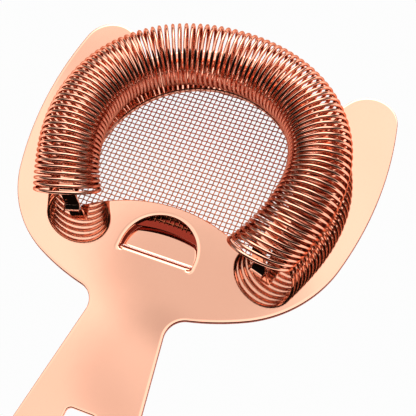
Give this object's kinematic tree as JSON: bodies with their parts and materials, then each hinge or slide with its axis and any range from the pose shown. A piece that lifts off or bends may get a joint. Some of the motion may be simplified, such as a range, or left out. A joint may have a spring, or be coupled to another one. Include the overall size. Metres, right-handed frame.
{
  "type": "hawthorne strainer",
  "caption": "Cocktail strainer: flat eared plate with a handle, a fine mesh window, a finger tab and a bowed coil spring held on two folded prongs.",
  "frame": {"origin": "centre of the spring ring, on the face of the plate that seats on the glass rim", "axes": "+Z out of the spring side of the plate, +Y towards the rim ears with the handle along -Y, +X across the ears"},
  "size_m": [0.11, 0.1481, 0.0229],
  "materials": {
    "polished_copper": "mirror-polished copper-plated stainless steel sheet",
    "coil_copper": "bright drawn wire, copper plated",
    "mesh_copper": "woven wire, copper plated, duller than the plate",
    "ring_copper": "satin copper-plated pressing"
  },
  "bodies": {
    "plate": {"strainer_plate": "polished_copper", "mesh_retaining_ring": "ring_copper", "mesh_warp_wires": "mesh_copper", "mesh_weft_wires": "mesh_copper"},
    "spring": {"coil_spring": "coil_copper"}
  },
  "joints": [
    {"name": "spring_compress", "type": "slide", "parent": "plate", "child": "spring", "axis": [0, -1, 0], "range_m": [0, 0.004], "stiffness_N_per_m": 450, "deforming": ["coil_spring"]}
  ]
}
